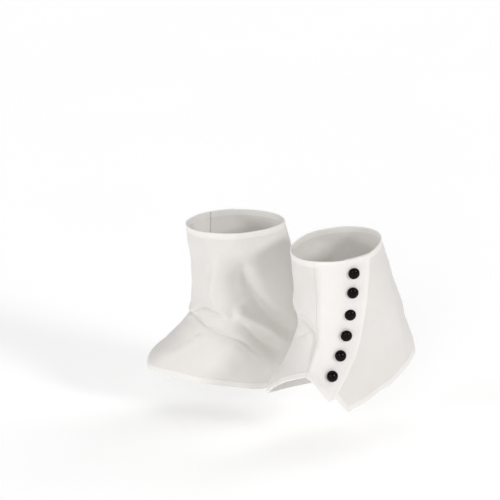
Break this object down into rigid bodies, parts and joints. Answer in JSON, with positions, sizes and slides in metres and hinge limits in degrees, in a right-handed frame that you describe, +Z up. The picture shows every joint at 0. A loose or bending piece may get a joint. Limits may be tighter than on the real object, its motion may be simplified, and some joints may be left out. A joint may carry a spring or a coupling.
{
  "type": "pair of spats",
  "caption": "Pair of white cloth spats in their worn, hollow form: ankle and instep covers whose curved outer flap is fastened by a row of black domed buttons.",
  "frame": {"origin": "middle of the left ankle, 130 mm above the sole of the shoe and 85 mm forward of the back of its heel, where the wearer holds the left spat", "axes": "+Z up; +X to the right and +Y away from a viewer who stands as the picture's camera does; the left foot points 36 degrees towards that viewer from -X, the right foot 1 degree"},
  "size_m": [0.3167, 0.2206, 0.2034],
  "materials": {
    "cloth": "smooth warm white woven cloth, nearly matt with a faint sheen",
    "button": "polished black domes"
  },
  "bodies": {
    "root": {"left_medial_panel": "cloth", "left_rear_panel": "cloth", "left_flap": "cloth", "left_button_1": "button", "left_button_2": "button", "left_button_3": "button", "left_button_4": "button", "left_button_5": "button", "left_button_6": "button", "right_medial_panel": "cloth", "right_rear_panel": "cloth", "right_flap": "cloth", "right_button_1": "button", "right_button_2": "button", "right_button_3": "button", "right_button_4": "button", "right_button_5": "button", "right_button_6": "button"}
  },
  "joints": []
}
